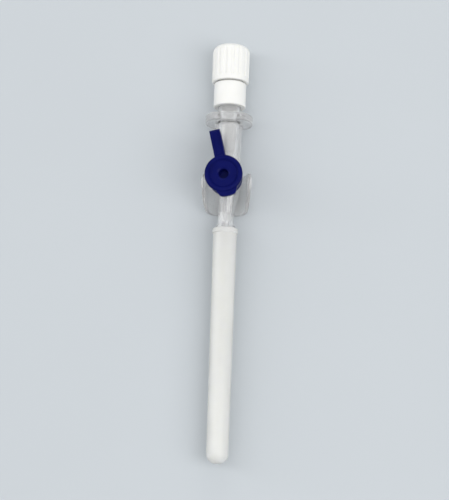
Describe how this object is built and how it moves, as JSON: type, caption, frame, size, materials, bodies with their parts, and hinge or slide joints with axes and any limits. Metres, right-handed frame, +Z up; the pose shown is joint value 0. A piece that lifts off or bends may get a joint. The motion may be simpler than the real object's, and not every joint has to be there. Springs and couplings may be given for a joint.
{
  "type": "iv cannula",
  "caption": "Slim winged intravenous cannula with an upright capped injection port, a long needle cover in front and a grip flange, flash chamber and fluted plug behind.",
  "frame": {"origin": "on the table, on the flat underside of the wings, straight below the axis of the injection port", "axes": "+Y runs along the cannula from the needle cover back to the plug, +X across the wings, +Z up out of the injection port"},
  "size_m": [0.0142, 0.1181, 0.0153],
  "materials": {
    "clear_plastic": "clear moulded polypropylene, slightly hazy",
    "milky_plastic": "milky translucent polypropylene, satin",
    "white_plastic": "opaque white moulded plastic, satin",
    "blue_plastic": "deep blue soft polyethylene, satin",
    "tube_plastic": "smooth translucent fluoropolymer with fine lengthwise stripes",
    "steel": "drawn and polished stainless steel",
    "silicone": "soft translucent silicone",
    "filter_felt": "fine porous white membrane"
  },
  "bodies": {
    "catheter": {"catheter_hub": "clear_plastic", "port_valve": "silicone", "catheter_tube": "tube_plastic", "catheter_wedge": "steel"},
    "cover": {"needle_cover": "milky_plastic"},
    "cap_ring": {"port_cap_ring": "blue_plastic"},
    "cap_lid": {"port_cap": "blue_plastic"},
    "needle_unit": {"needle": "steel", "needle_hub": "clear_plastic", "vent_fitting": "white_plastic", "filter_disc": "filter_felt"},
    "plug": {"luer_plug": "white_plastic"}
  },
  "joints": [
    {"name": "cover_pull", "type": "slide", "parent": "catheter", "child": "cover", "axis": [0, -1, 0], "range_m": [0, 0.045]},
    {"name": "cap_swivel", "type": "hinge", "parent": "catheter", "child": "cap_ring", "pos_m": [0, 0, 0.0092], "axis": [0, 0, 1], "continuous": true},
    {"name": "cap_flip", "type": "hinge", "parent": "cap_ring", "child": "cap_lid", "pos_m": [-0.00305, 0.01269, 0.01235], "axis": [-0.9724, -0.2334, 0], "range_deg": [0, 120]},
    {"name": "needle_withdraw", "type": "slide", "parent": "catheter", "child": "needle_unit", "axis": [0, 1, 0], "range_m": [0, 0.065]},
    {"name": "plug_pull", "type": "slide", "parent": "needle_unit", "child": "plug", "axis": [0, 1, 0], "range_m": [0, 0.012]}
  ]
}
